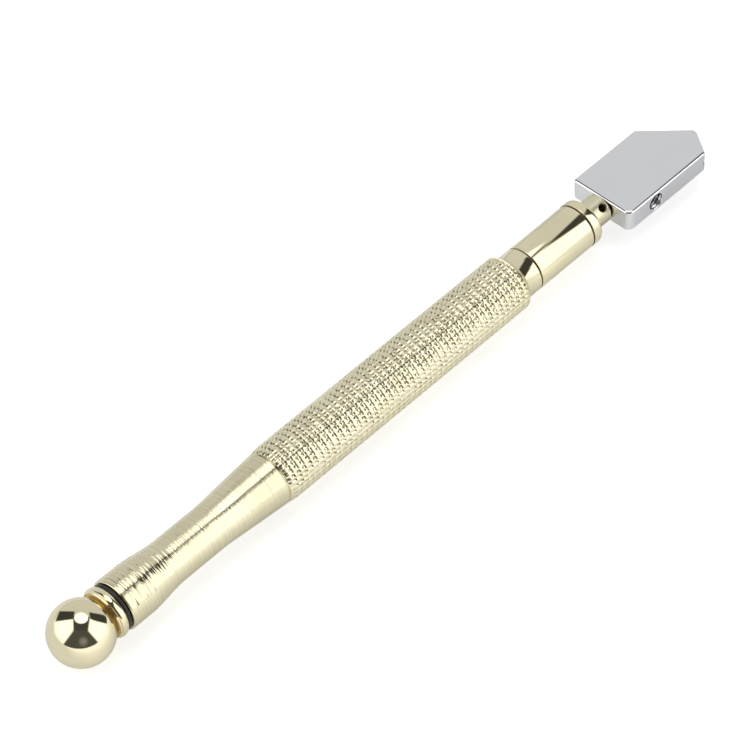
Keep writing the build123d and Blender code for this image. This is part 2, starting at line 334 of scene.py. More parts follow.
def round_bar(name, radii, direction, origin, segments=64, ripple=None):
    """A solid of revolution about any line: radii is a list of (distance, radius).
    ripple(distance, angle) gives a change of radius, for threads."""
    direction = direction.normalized()
    side = direction.orthogonal().normalized()
    up = direction.cross(side)
    verts = []
    for distance, radius in radii:
        for a in even_turn(segments):
            full = radius + (ripple(distance, a) if ripple else 0.0)
            offset = (side * math.cos(a) + up * math.sin(a)) * full
            verts.append(origin + (direction * distance + offset) * mm)
    faces = []
    for i in range(len(radii) - 1):
        for k in range(segments):
            n = (k + 1) % segments
            a, b = i * segments, (i + 1) * segments
            faces.append((a + k, a + n, b + n, b + k))
    faces.append(tuple(reversed(range(segments))))
    faces.append(tuple(range(len(verts) - segments, len(verts))))
    return make_object(name, verts, faces)


# ---- materials ----------------------------------------------------------------------------

def new_material(name):
    """An empty material, with its nodes and links."""
    material = bpy.data.materials.new(name)
    material.use_nodes = True
    return material, material.node_tree.nodes, material.node_tree.links


def noise(nodes, links, coords, scale, detail=3.0, roughness=0.5, stretch=None):
    """A noise texture in object space, stretched by scaling its coordinates."""
    texture = nodes.new("ShaderNodeTexNoise")
    texture.inputs["Scale"].default_value = scale
    texture.inputs["Detail"].default_value = detail
    texture.inputs["Roughness"].default_value = roughness
    if stretch:
        mapping = nodes.new("ShaderNodeMapping")
        mapping.inputs["Scale"].default_value = stretch
        links.new(coords.outputs["Object"], mapping.inputs["Vector"])
        links.new(mapping.outputs["Vector"], texture.inputs["Vector"])
    else:
        links.new(coords.outputs["Object"], texture.inputs["Vector"])
    return texture


def span_of(nodes, links, source, low, high, name="Fac"):
    """Maps a 0..1 output onto a range."""
    node = nodes.new("ShaderNodeMapRange")
    node.inputs["To Min"].default_value = low
    node.inputs["To Max"].default_value = high
    links.new(source.outputs[name], node.inputs["Value"])
    return node


def tint(nodes, links, source, dark, light):
    """Colour between two tones by a noise."""
    ramp = nodes.new("ShaderNodeValToRGB")
    ramp.color_ramp.elements[0].position = 0.3
    ramp.color_ramp.elements[1].position = 0.7
    ramp.color_ramp.elements[0].color = (*dark, 1)
    ramp.color_ramp.elements[1].color = (*light, 1)
    links.new(source.outputs["Fac"], ramp.inputs["Fac"])
    return ramp


def bump(nodes, links, source, distance, after=None):
    """Relief of a height in metres, on top of an earlier bump if there is one."""
    node = nodes.new("ShaderNodeBump")
    node.inputs["Distance"].default_value = distance
    node.inputs["Strength"].default_value = 1.0
    links.new(source.outputs["Fac"], node.inputs["Height"])
    if after:
        links.new(after.outputs["Normal"], node.inputs["Normal"])
    return node


def metal(name, dark, light, rough_low, rough_high, patch=120.0, scratch=0.0, lines=0.0,
          line_scale=3500.0, line_shade=0.0, grain=0.0, brushed=0.0):
    """Metal with uneven tone and gloss. scratch, lines and grain are heights in metres of fine
    scratches, of turned lines round the handle and of a fine all-over grain. line_shade is painted
    shade in the bottoms of the lines. brushed is extra roughness on faces that don't look up or down."""
    material, nodes, links = new_material(name)
    shader = nodes["Principled BSDF"]
    shader.inputs["Metallic"].default_value = 1.0
    coords = nodes.new("ShaderNodeTexCoord")
    patches = noise(nodes, links, coords, patch, 4.0, 0.55)
    tone = tint(nodes, links, patches, dark, light).outputs["Color"]
    links.new(tone, shader.inputs["Base Color"])
    smears = noise(nodes, links, coords, patch * 3, 5.0, 0.6)
    gloss = span_of(nodes, links, smears, rough_low, rough_high)
    links.new(gloss.outputs["Result"], shader.inputs["Roughness"])
    if brushed:
        facing = nodes.new("ShaderNodeSeparateXYZ")
        links.new(coords.outputs["Normal"], facing.inputs["Vector"])
        sideways = nodes.new("ShaderNodeMath")
        sideways.operation = "ABSOLUTE"
        links.new(facing.outputs["Z"], sideways.inputs[0])
        extra = span_of(nodes, links, sideways, brushed, 0.0, "Value")
        total = nodes.new("ShaderNodeMath")
        links.new(gloss.outputs["Result"], total.inputs[0])
        links.new(extra.outputs["Result"], total.inputs[1])
        links.new(total.outputs["Value"], shader.inputs["Roughness"])
    last = None
    if scratch:
        fine = noise(nodes, links, coords, 900.0, 2.0, 0.5, (0.15, 1.0, 1.0))
        last = bump(nodes, links, fine, scratch, after=last)
    if lines:
        turned = noise(nodes, links, coords, 1.0, 3.0, 0.6, (line_scale, 12.0, 12.0))
        last = bump(nodes, links, turned, lines, after=last)
        # painted shade: the base colour darkens in the bottoms of the turned lines
        shade = nodes.new("ShaderNodeVectorMath")
        shade.operation = "SCALE"
        links.new(tone, shade.inputs["Vector"])
        depth = span_of(nodes, links, turned, 1 - 2 * line_shade, 1 + 0.5 * line_shade)
        links.new(depth.outputs["Result"], shade.inputs["Scale"])
        links.new(shade.outputs["Vector"], shader.inputs["Base Color"])
    if grain:
        speck = noise(nodes, links, coords, 4000.0, 2.0, 0.5)
        last = bump(nodes, links, speck, grain, after=last)
    if last:
        links.new(last.outputs["Normal"], shader.inputs["Normal"])
    return material


polished_brass = metal("polished_brass", (0.85, 0.785, 0.535), (0.92, 0.855, 0.60), 0.04, 0.09,
                       scratch=2e-6)
turned_brass = metal("turned_brass", (0.84, 0.775, 0.53), (0.91, 0.845, 0.60), 0.05, 0.11,
                     lines=6e-5, line_scale=2400.0, line_shade=0.14)
cut_brass = metal("cut_brass", (0.90, 0.84, 0.59), (0.97, 0.915, 0.68), 0.16, 0.25, grain=2e-6)
# oil and painted shade: dark brass for the deep faces of the knurl
oil_and_shade_brass = metal("oil_and_shade_brass", (0.38, 0.34, 0.19), (0.58, 0.52, 0.32), 0.30, 0.42, grain=3e-6)
satin_brass = metal("satin_brass", (0.74, 0.69, 0.49), (0.84, 0.79, 0.58), 0.24, 0.34, lines=1.2e-5)
inner_brass = metal("inner_brass", (0.66, 0.50, 0.22), (0.76, 0.60, 0.30), 0.22, 0.38, lines=4e-6)
cove_brass = metal("unpolished_cove", (0.72, 0.54, 0.24), (0.84, 0.68, 0.36), 0.26, 0.38, lines=8e-6)
# painted shade: very dark brass for faces in grooves, gaps and holes, where shade falls
painted_shade_brass = metal("painted_shade_brass", (0.16, 0.135, 0.07), (0.30, 0.25, 0.13), 0.35, 0.5, grain=4e-6)
chrome = metal("chrome_plate", (0.83, 0.84, 0.86), (0.87, 0.88, 0.895), 0.04, 0.08, patch=60.0,
               scratch=1e-6, brushed=0.10)
bright_steel = metal("bright_steel", (0.62, 0.62, 0.63), (0.74, 0.74, 0.75), 0.12, 0.22, grain=1e-6)
steel = metal("tool_steel", (0.42, 0.42, 0.43), (0.58, 0.58, 0.59), 0.18, 0.34, grain=2e-6)
# painted shade: near-black steel for the insides of the head's bore, wheel slot and axle hole, and the
# screw's slot
dark_steel = metal("painted_shade_steel", (0.06, 0.058, 0.055), (0.15, 0.145, 0.14), 0.25, 0.4, grain=3e-6)
spring_steel = metal("spring_steel", (0.48, 0.48, 0.50), (0.62, 0.62, 0.63), 0.16, 0.30, grain=2e-6)
carbide = metal("carbide", (0.26, 0.27, 0.29), (0.36, 0.37, 0.39), 0.22, 0.36, grain=4e-6)


def soft_material(name, dark, light, rough_low, rough_high, scale, height):
    """Rubber, fibre or cotton: no metal, a mottled tone and a fine rough surface."""
    material, nodes, links = new_material(name)
    shader = nodes["Principled BSDF"]
    coords = nodes.new("ShaderNodeTexCoord")
    patches = noise(nodes, links, coords, scale, 5.0, 0.6)
    links.new(tint(nodes, links, patches, dark, light).outputs["Color"], shader.inputs["Base Color"])
    gloss = span_of(nodes, links, patches, rough_low, rough_high)
    links.new(gloss.outputs["Result"], shader.inputs["Roughness"])
    rough = bump(nodes, links, noise(nodes, links, coords, scale * 6, 4.0, 0.6), height)
    links.new(rough.outputs["Normal"], shader.inputs["Normal"])
    return material


rubber = soft_material("black_rubber", (0.014, 0.011, 0.012), (0.03, 0.024, 0.026), 0.25, 0.45, 500, 1e-5)
fibre = soft_material("red_fibre", (0.34, 0.07, 0.04), (0.5, 0.14, 0.08), 0.6, 0.8, 900, 2e-5)
cotton = soft_material("cotton", (0.62, 0.56, 0.42), (0.84, 0.80, 0.68), 0.75, 0.95, 1600, 8e-5)


def paint(obj, material, chosen):
    """Gives a second material to the faces that a test of (station, distance off axis) picks."""
    obj.data.materials.append(material)
    for face in obj.data.polygons:
        offset = face.center - at(0)
        if chosen(offset.x / mm, math.hypot(offset.y, offset.z) / mm):
            face.material_index = len(obj.data.materials) - 1


def finish_piece(obj, body, material, node):
    """Gives a piece its material and its body, and hides the CAD node that it stands for."""
    if not obj.data.materials:
        obj.data.materials.append(material)
    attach(obj, body)
    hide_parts(node)
    return obj


# ---- ball cap -----------------------------------------------------------------------------

def thread_wave(x, angle, pitch=stud_pitch):
    """Height from 0 to 1 of a 60 degree thread at a distance along it and an angle."""
    turn = (x / pitch - angle / (2 * math.pi)) % 1.0
    return min(1.0, 1.25 * (1 - abs(2 * turn - 1)))


def ball_cap():
    """Polished ball, flange and threaded filler stud, turned in one piece."""
    outline = [(-ball_r, 0.0)]
    neck_angle = math.asin(cap_neck_r / ball_r)
    for k in range(1, 91):
        a = math.pi - (math.pi - neck_angle) * k / 90
        outline.append((ball_r * math.cos(a), ball_r * math.sin(a)))
    outline += rounded([
        (5.05, cap_neck_r),
        (flange_dish_x, cap_neck_r, 0.3),
        (flange_lip_x, flange_lip_r, 0.03),
        (flange_step_x, flange_step_r, 0.1),
    ], 6)[1:]
    outline += smooth_run(flange_step_x, flange_step_r, 0.5, flange_middle_x, flange_r, 0.0, 6)
    outline += [(flange_middle_x, flange_r)]
    outline += smooth_run(flange_middle_x, flange_r, 0.0, seal_x, flange_front_r, -1.1, 8)
    outline += rounded([
        (seal_x - 0.08, 4.98),
        (seal_x, flange_front_r, 0.05),
        (seal_x, stud_undercut_r, 0.1),
        (seal_x + stud_undercut_length, stud_undercut_r, 0.1),
        (seal_x + stud_undercut_length, 3.85),
        (tail_x, 3.85),
        (tail_x + 0.3, stud_r - 0.05),
    ], 3)[1:]
    step = stud_pitch / 8
    x = tail_x + 0.3 + step
    while x < stud_end_x - 0.5:
        outline.append((x, stud_r - 0.05))
        x += step
    outline += [(stud_end_x - 0.5, stud_r - 0.05), (stud_end_x, stud_r - 0.55), (stud_end_x, 0.0)]

    def thread(x, r, angle):
        if x < tail_x + 0.35 or x > stud_end_x - 0.02 or r < 3.3:
            return 0.0
        return -thread_depth * (1 - thread_wave(x, angle)) * (1.0 if x < stud_end_x - 0.5 else 0.3)

    cap = lathe("ball_cap_turned", outline, even_turn(160), thread)
    cap.data.materials.append(polished_brass)
    paint(cap, cove_brass, lambda x, r: cove_rear_x < x < cove_front_x and r < cove_r)
    paint(cap, inner_brass, lambda x, r: x > seal_x)
    return cap


finish_piece(ball_cap(), "filler_cap", polished_brass, "ball_cap")

seal = lathe("cap_o_ring_moulded", rounded([
    (seal_x, 3.9, 0.33),
    (seal_x, seal_r, 0.42),
    (tail_x, seal_r, 0.42),
    (tail_x, 3.9, 0.33),
], 7))
finish_piece(seal, "seal_ring", rubber, "cap_o_ring")


# ---- barrel -------------------------------------------------------------------------------

# where the flats and slopes of a ring and of a column of the knurl begin, in parts of a pitch
ring_stations = (0.06, 0.10, 0.28, 0.32, 0.68, 0.72, 0.90, 0.94)
column_stations = (0.05, 0.09, 0.25, 0.29, 0.71, 0.75, 0.91, 0.95)


def crown(u, groove, crest):
    """Height from 0 to 1 across a ridge: flat in the groove and on the crest, straight between."""
    height = (1 - abs(2 * (u % 1.0) - 1) - groove) / (1 - groove - crest)
    return min(1.0, max(0.0, height))


def knurl(x, angle):
    """Change of radius of the square knurl: grooves round the grip, crossed by lines along it."""
    column = angle / (2 * math.pi) * knurl_columns
    ring = (x - knurl_start_x) / knurl_pitch
    worn = dents[int(ring) % len(dents)][int(column) % knurl_columns]
    rings = ring_depth * (1 - crown(ring, ring_groove, ring_crest))
    columns = column_depth * (1 - crown(column, column_groove, column_crest))
    return -rings * (0.6 + 0.4 * worn) - columns * worn


def grip_radius(x):
    """Radius over the knurl, which swells over its first ring."""
    return knurl_rear_r + (grip_r - knurl_rear_r) * min(1.0, (x - knurl_start_x) / knurl_pitch)


dents = [[random.uniform(0.5, 1.3) for _ in range(knurl_columns)] for _ in range(60)]
knurl_angles = [2 * math.pi * (k + part) / knurl_columns
                for k in range(knurl_columns) for part in column_stations]

# the tail is left rough from the lathe: a line every rough_pitch, each with its own depth
rough_pitch = 0.16
rough_end_x = 23.0
rough_height = 0.06
rough_depths = [[random.uniform(-1, 1) for _ in range(12)] for _ in range(200)]


def rough_turning(x, angle):
    """Depth of the lathe's lines on the tail, which fade out towards the waist."""
    lines = rough_depths[round((x - tail_x) / rough_pitch) % len(rough_depths)]
    place = angle / (2 * math.pi) * len(lines)
    k = int(place)
    blend = place - k
    height = lines[k % len(lines)] * (1 - blend) + lines[(k + 1) % len(lines)] * blend
    fade = min(1.0, (x - tail_x - 0.4) / 0.5, (rough_end_x - x) / 4.0)
    return rough_height * height * max(0.0, fade)


def tail_radius(x):
    """Radius of the handle from the tail to the waist."""
    if x <= tail_end_x:
        return tail_r
    t = min(1.0, (x - tail_end_x) / (waist_start_x - tail_end_x))
    return tail_r + (waist_r - tail_r) * t * t * (3 - 2 * t)


def barrel():
    """Brass handle: turned tail, waist, taper, square-knurled grip, land and a threaded bore."""
    outline = rounded([(tail_x, 4.5), (tail_x, tail_r, 0.3), (tail_x + 1.0, tail_r)], 5)[:-1]
    for k in range(4, int((rough_end_x - tail_x) / rough_pitch)):
        x = tail_x + k * rough_pitch
        outline.append((x, tail_radius(x)))
    outline += [(x, waist_r) for x in (26.0, 28.0, 30.0, waist_end_x)]
    middle_x = (waist_end_x + knurl_start_x) / 2
    middle_r = (waist_r + knurl_rear_r) / 2
    slope = (knurl_rear_r - waist_r) / (knurl_start_x - waist_end_x)
    outline += smooth_run(waist_end_x, waist_r, 0.02, middle_x, middle_r, slope, 12)
    outline += [(middle_x, middle_r)]
    outline += smooth_run(middle_x, middle_r, slope, knurl_start_x - 0.5, knurl_rear_r, slope, 10)
    outline += [
        (knurl_start_x - 0.5, knurl_rear_r),
        (knurl_start_x - 0.36, knurl_rear_r - 0.16),
        (knurl_start_x - 0.12, knurl_rear_r - 0.16),
        (knurl_start_x - 0.02, knurl_rear_r),
    ]
    rings = int((knurl_end_x - knurl_shoulder - knurl_start_x) / knurl_pitch)
    for ring in range(rings):
        for part in ring_stations:
            x = knurl_start_x + (ring + part) * knurl_pitch
            outline.append((x, grip_radius(x)))
    x0 = outline[-1][0] + 0.12
    outline += [(x0, grip_r)]
    outline += smooth_run(x0, grip_r, -0.1, knurl_end_x, sleeve_r, -0.5, 10)
    outline += rounded([
        (knurl_end_x, sleeve_r),
        (joint_x - groove_half, sleeve_r, 0.1),
        (joint_x, sleeve_r - groove_depth),
        (joint_x, barrel_spigot_r),
        (spigot_end_x - 0.5, barrel_spigot_r),
        (spigot_end_x, barrel_spigot_r - 0.5),
        (spigot_end_x, valve_bore_r),
        (reservoir_end_x, valve_bore_r),
        (reservoir_end_x - reservoir_r + valve_bore_r, reservoir_r),
        (filler_end_x + stud_r - reservoir_r, reservoir_r),
        (filler_end_x, stud_r),
    ], 4)
    x = filler_end_x - stud_pitch / 8
    while x > tail_x + 0.6:
        outline.append((x, stud_r))
        x -= stud_pitch / 8
    outline += [(tail_x + 0.5, stud_r), (tail_x, 4.5)]

    def relief(x, r, angle):
        if knurl_start_x < x < x0 and r > barrel_spigot_r + 0.3:
            return knurl(x, angle)
        if r > 4.3 and x < rough_end_x:
            return rough_turning(x, angle)
        if r < 4.02 and tail_x + 0.5 < x < filler_end_x:
            return thread_depth * thread_wave(x, angle) * 0.9
        return 0.0

    body = lathe("barrel_knurled", outline[:-1], knurl_angles, relief, 50.0)
    body.data.materials.append(turned_brass)
    paint(body, cut_brass, lambda x, r: knurl_start_x < x < x0 and r < grip_radius(x) - rough_cut_depth)
    # the knurl's deep faces are dark with oil and painted shade
    paint(body, oil_and_shade_brass, lambda x, r: knurl_start_x < x < x0 and r < grip_radius(x) - oil_and_shade_depth)
    paint(body, polished_brass, lambda x, r: x > knurl_end_x - knurl_shoulder)
    # painted shade in the groove where the barrel meets the nose sleeve
    paint(body, painted_shade_brass, lambda x, r: joint_x - painted_shade_reach < x and r < sleeve_r - 0.08)
    paint(body, inner_brass, lambda x, r: r < stud_r + 0.45)
    return body


finish_piece(barrel(), "handle", turned_brass, "barrel")


# ---- nose ---------------------------------------------------------------------------------

sleeve = lathe("nose_sleeve_polished", rounded([
    (joint_x, barrel_spigot_r),
    (joint_x, sleeve_r - groove_depth),
    (joint_x + groove_half, sleeve_r, 0.1),
    (ring_line_x - groove_half, sleeve_r, 0.1),
    (ring_line_x, sleeve_r - groove_depth),
    (ring_line_x, ring_thread_r),
    (ring_rear_x, ring_thread_r),
    (ring_rear_x, chamber_r),
    (sleeve_shoulder_x, chamber_r),
    (sleeve_shoulder_x, barrel_spigot_r),
], 4), even_turn(160))
sleeve.data.materials.append(polished_brass)
# painted shade in the grooves at both ends of the sleeve
paint(sleeve, painted_shade_brass, lambda x, r: not joint_x + painted_shade_reach < x < ring_line_x - painted_shade_reach)
paint(sleeve, inner_brass, lambda x, r: r < ring_thread_r + 0.4)
finish_piece(sleeve, "handle", polished_brass, "nose_sleeve")

bore_r = neck_r + running_gap
nose = lathe("nose_ring_polished", rounded([
    (ring_rear_x, bore_r),
    (ring_rear_x, ring_thread_r - 0.25),
    (ring_rear_x + 0.25, ring_thread_r),
    (ring_line_x, ring_thread_r),
    (ring_line_x, sleeve_r - groove_depth),
    (ring_line_x + groove_half, ring_r, 0.1),
    (nose_end_x, ring_r, nose_round_r),
    (nose_end_x, bore_r + 0.2),
    (nose_end_x - 0.2, bore_r),
    (wiper_front_x, bore_r),
    (wiper_front_x, wiper_r),
    (wiper_rear_x, wiper_r),
    (wiper_rear_x, bore_r),
], 8), even_turn(160))
nose.data.materials.append(polished_brass)
# painted shade in the groove where the nose ring meets the sleeve
paint(nose, painted_shade_brass, lambda x, r: x < ring_line_x + painted_shade_reach)
paint(nose, inner_brass, lambda x, r: r < ring_thread_r)
finish_piece(nose, "handle", polished_brass, "nose_ring")


def valve_spring():
    """Coil spring between the washer and the neck's collar, with a hair of room at both ends."""
    start = rear("valve_spring") + spring_wire_r + face_gap
    length = front("valve_spring") - spring_wire_r - face_gap - start
    steps, sides = 168, 14
    verts = []
    for i in range(steps + 1):
        turn = 2 * math.pi * spring_turns * i / steps
        for k in range(sides):
            round_wire = 2 * math.pi * k / sides
            r = spring_coil_r + spring_wire_r * math.cos(round_wire)
            verts.append(at(start + length * i / steps + spring_wire_r * math.sin(round_wire),
                            r * math.cos(turn), r * math.sin(turn)))
    faces = [tuple(range(sides)), tuple(reversed(range(len(verts) - sides, len(verts))))]
    for i in range(steps):
        for k in range(sides):
            n = (k + 1) % sides
            faces.append((i * sides + k, (i + 1) * sides + k, (i + 1) * sides + n, i * sides + n))
    return make_object("valve_spring_wound", verts, faces)


spring = finish_piece(valve_spring(), "handle", spring_steel, "valve_spring")
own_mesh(spring)


# ---- neck ---------------------------------------------------------------------------------

def neck():
    """Neck with its spring collar, oil outlet and the thinner spigot that carries the head."""
    body = lathe("neck_turned", rounded([
        (neck_rear_x + face_gap, oil_bore_r),
        (neck_rear_x + face_gap, neck_tail_r, 0.1),
        (collar_rear_x, neck_tail_r),
        (collar_rear_x, collar_r, 0.1),
        (ring_rear_x, collar_r, 0.1),
        (ring_rear_x, neck_r),
        (neck_end_x, neck_r, 0.42),
        (neck_end_x, shoulder_r),
        (shoulder_end_x, shoulder_r),
        (shoulder_end_x, spigot_r),
        (neck_front_x, spigot_r, 0.35),
        (neck_front_x, 0.0),
        (oil_bore_end_x, 0.0),
        (oil_bore_end_x, oil_bore_r),
    ], 6), even_turn(96))
    body.data.materials.append(satin_brass)
    # painted shade on the neck's end face, shoulder and spigot, in the gap under the head
    paint(body, painted_shade_brass, lambda x, r: x > neck_end_x - 0.02 and r < neck_r - 0.1)
    up = math.radians(outlet_angle)
    outward = Vector((0, -math.cos(up), math.sin(up)))
    drill = [
        (0.4, outlet_r),
        (neck_r - 0.32, outlet_r),
        (neck_r - 0.2, outlet_r + 0.1),
        (neck_r + 0.3, outlet_r + 0.6),
    ]
    outlet = round_bar("outlet_cutter", drill, outward, at(outlet_x), 48)
    # painted shade inside the oil outlet hole
    outlet.data.materials.append(painted_shade_brass)
    cut(body, [outlet])
    crease(body, 40)
    return body


finish_piece(neck(), "valve_neck", satin_brass, "neck")


# ---- head ---------------------------------------------------------------------------------

def head_plan():
    """Five-sided plan of the head with rounded corners, anticlockwise from above."""
    short_run = tip_length - head_short_side
    long_run = tip_length - head_long_side
    cut_x = head_x + tip_length - tip_cut
    return rounded([
        (head_x, -head_half, near_corner_r),
        (head_x + head_long_side, -head_half, side_corner_r),
        (cut_x, wheel_y - tip_cut * (head_half + wheel_y) / long_run, tip_corner_r),
        (cut_x, wheel_y + tip_cut * (head_half - wheel_y) / short_run, tip_corner_r),
        (head_x + head_short_side, head_half, side_corner_r),
        (head_x, head_half, far_corner_r),
    ], 10)


def inset(plan, distance):
    """The plan moved inwards by a distance."""
    points = [Vector(p) for p in plan]
    moved = []
    for i, here in enumerate(points):
        before = (here - points[i - 1]).normalized()
        after = (points[(i + 1) % len(points)] - here).normalized()
        inward = Vector((-before.y - after.y, before.x + after.x)).normalized()
        moved.append(here + inward * distance / max(0.5, math.cos(before.angle(after) / 2)))
    return moved


def head_block():
    """Chromed block with rounded edges, the spigot's bore, a threaded screw hole and a slot."""
    plan = head_plan()
    half = head_thick / 2
    levels = [(inward, drop - half) for inward, drop in buffed_edge()]
    levels += [(inward, -z) for inward, z in reversed(levels)]
    verts = []
    for inward, z in levels:
        verts += [at(p.x, p.y, z) for p in inset(plan, inward)]
    count = len(plan)
    faces = [tuple(reversed(range(count)))]
    for i in range(len(levels) - 1):
        for k in range(count):
            n = (k + 1) % count
            faces.append((i * count + k, i * count + n, (i + 1) * count + n, (i + 1) * count + k))
    faces.append(tuple(range(len(verts) - count, len(verts))))
    body = make_object("head_block_chromed", verts, faces, 0)
    body.data.materials.append(chrome)
    spigot_hole_r = spigot_r + running_gap
    bore = round_bar("bore_cutter", [(-1.0, spigot_hole_r), (spigot_bore_depth, spigot_hole_r)],
                     Vector((1, 0, 0)), at(head_x), 64)
    step = screw_outer - screw_hole_depth
    hole = [(0.0, screw_tip_hole_r), (step, screw_tip_hole_r), (step, screw_hole_r)]
    steps = 48
    for k in range(steps + 1):
        hole.append((screw_outer - 1.2 + (head_half - screw_outer + 1.1) * k / steps, screw_hole_r))
    hole += [(head_half + 0.2, screw_hole_r + 0.3)]

    def threads(distance, angle):
        inside = screw_outer - 1.3 < distance < head_half - 0.05
        return 0.22 * (thread_wave(distance, angle, screw_pitch) - 0.5) if inside else 0.0

    screw_hole = round_bar("hole_cutter", hole, Vector((0, -1, 0)), at(screw_x), 64, threads)
    slot = box_cutter("slot_cutter", at(head_x + wheel_slot_rear, -head_half - 1, -wheel_slot_half),
                      at(head_x + tip_length + 2, head_half + 1, wheel_slot_half))
    axle = round_bar("axle_cutter", [(-half - 1, axle_r), (half - axle_cover, axle_r)], Vector((0, 0, 1)),
                     at(wheel_x, wheel_y), 48)
    for cutter in (bore, slot, axle):
        # painted shade inside the bore, the wheel slot and the axle hole
        cutter.data.materials.append(dark_steel)
    screw_hole.data.materials.append(bright_steel)
    cut(body, [bore, screw_hole, slot, axle])
    crease(body, 32)
    return body


def buffed_edge():
    """(inset, drop) of the points round the head's rim, which is buffed softly before it turns."""
    points = [(0.0, 0.0)]
    for tilt, length in ((4, 0.02), (10, 0.02), (17, 0.07), (21, 0.08), (25, 0.08), (29, 0.08), (33, 0.06),
                         (40, 0.05), (47, 0.05), (54, 0.05), (62, 0.03), (70, 0.03), (78, 0.03), (86, 0.03)):
        inward, drop = points[-1]
        points.append((inward - length * math.cos(math.radians(tilt)),
                       drop + length * math.sin(math.radians(tilt))))
    return [(inward - points[-1][0], drop) for inward, drop in points]


def box_cutter(name, low, high):
    """A plain box between two corners, for cutting."""
    verts = [Vector((x, y, z)) for z in (low.z, high.z) for y in (low.y, high.y) for x in (low.x, high.x)]
    faces = [(0, 2, 3, 1), (4, 5, 7, 6), (0, 1, 5, 4), (2, 6, 7, 3), (0, 4, 6, 2), (1, 3, 7, 5)]
    return make_object(name, verts, faces)


finish_piece(head_block(), "cutting_head", chrome, "head_block")


def set_screw():
    """Slotted and threaded screw down the hole in the head's side."""
    inner = screw_outer - screw_length
    body_r = screw_r - 0.1
    outline = [
        (screw_tip_reach, screw_tip_r - 0.25),
        (screw_tip_reach + 0.25, screw_tip_r),
        (inner, screw_tip_r),
        (inner + 0.02, body_r - 0.25),
    ]
    steps = 64
    for k in range(steps + 1):
        outline.append((inner + 0.2 + (screw_outer - inner - 0.45) * k / steps, body_r))
    outline += [(screw_outer - 0.1, body_r - 0.12), (screw_outer, body_r - 0.35)]

    def threads(distance, angle):
        inside = inner + 0.1 < distance < screw_outer - 0.2
        return 0.2 * (thread_wave(distance, angle, screw_pitch) - 0.5) if inside else 0.0

    screw = round_bar("set_screw_slotted", outline, Vector((0, -1, 0)), at(screw_x), 64, threads)
    screw.data.materials.append(bright_steel)
    slot = box_cutter("screw_slot_cutter", Vector((-3 * mm, -3 * mm, -screw_slot_half * mm)),
                      Vector((3 * mm, screw_slot_depth * mm, screw_slot_half * mm)))
    turned = Matrix.Rotation(-screw_turn, 4, "Y")
    slot.data.transform(Matrix.Translation(at(screw_x, -screw_outer)) @ turned)
    # painted shade inside the screw's slot
    slot.data.materials.append(dark_steel)
    cut(screw, [slot])
    crease(screw, 32)
    return screw


finish_piece(set_screw(), "screw", bright_steel, "set_screw")


# ---- CAD nodes that show as they are ------------------------------------------------------

for node, material in {
    "nose_o_ring": rubber,
    "plug_gasket": fibre,
    "valve_plug": inner_brass,
    "valve_disc": rubber,
    "disc_retainer": inner_brass,
    "valve_pin": steel,
    "spring_washer": steel,
    "feed_wick": cotton,
    "axle_pin": steel,
    "cutting_wheel": carbide,
}.items():
    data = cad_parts[node].data
    data.materials.clear()
    data.materials.append(material)


# ---- floor, light and camera --------------------------------------------------------------

camera_right = Vector((0.6847, -0.7281, -0.0331))
camera_up = Vector((0.5599, 0.4963, 0.6635))
camera_back = camera_right.cross(camera_up).normalized()
camera_up = camera_back.cross(camera_right).normalized()
camera_right.normalize()
to_right = 52.82            # from the ball to the camera, along its own three directions
to_top = 46.35
to_camera = 773.07


def climb(nodes, links, where, axis, start, end, height):
    """A value that climbs from 0 to height between two places along an axis."""
    node = nodes.new("ShaderNodeMapRange")
    node.inputs["From Min"].default_value = start
    node.inputs["From Max"].default_value = end
    node.inputs["To Max"].default_value = height
    links.new(where.outputs[axis], node.inputs["Value"])
    return node.outputs["Result"]


def floor_paint():
    """Pale and mottled. The floor shows whiter than it is lit, and the metal mirrors it brighter
    still where it lies in front of the handle and beside it."""
    material, nodes, links = new_material("pale_floor")
    shader = nodes["Principled BSDF"]
    shader.inputs["Roughness"].default_value = 0.9
    shader.inputs["Specular IOR Level"].default_value = 0.1
    shader.inputs["Emission Color"].default_value = (1, 1, 1, 1)
    rays = nodes.new("ShaderNodeLightPath")
    coords = nodes.new("ShaderNodeTexCoord")
    where = nodes.new("ShaderNodeSeparateXYZ")
    links.new(coords.outputs["Object"], where.inputs["Vector"])
    in_front = climb(nodes, links, where, "Y", -6 * mm, -40 * mm, 0.38)
    by_handle = climb(nodes, links, where, "X", at(152).x, at(138).x, 0.19)
    mirrored = nodes.new("ShaderNodeMath")
    links.new(in_front, mirrored.inputs[0])
    links.new(by_handle, mirrored.inputs[1])
    seen = nodes.new("ShaderNodeMath")
    seen.operation = "MULTIPLY"
    seen.inputs[1].default_value = 0.62
    links.new(rays.outputs["Is Camera Ray"], seen.inputs[0])
    glow = nodes.new("ShaderNodeMath")
    glow.operation = "MULTIPLY_ADD"
    links.new(mirrored.outputs["Value"], glow.inputs[0])
    links.new(rays.outputs["Is Glossy Ray"], glow.inputs[1])
    links.new(seen.outputs["Value"], glow.inputs[2])
    links.new(glow.outputs["Value"], shader.inputs["Emission Strength"])
    mottle = noise(nodes, links, coords, 40.0, 4.0, 0.5)
    tone = tint(nodes, links, mottle, (0.76, 0.76, 0.76), (0.80, 0.80, 0.80))
    links.new(tone.outputs["Color"], shader.inputs["Base Color"])
    return material


reach = 3.0
floor = make_object("floor", [Vector((-reach, -reach, 0)), Vector((reach, -reach, 0)),
                              Vector((reach, reach, 0)), Vector((-reach, reach, 0))], [(0, 1, 2, 3)], 0)
floor.data.materials.append(floor_paint())


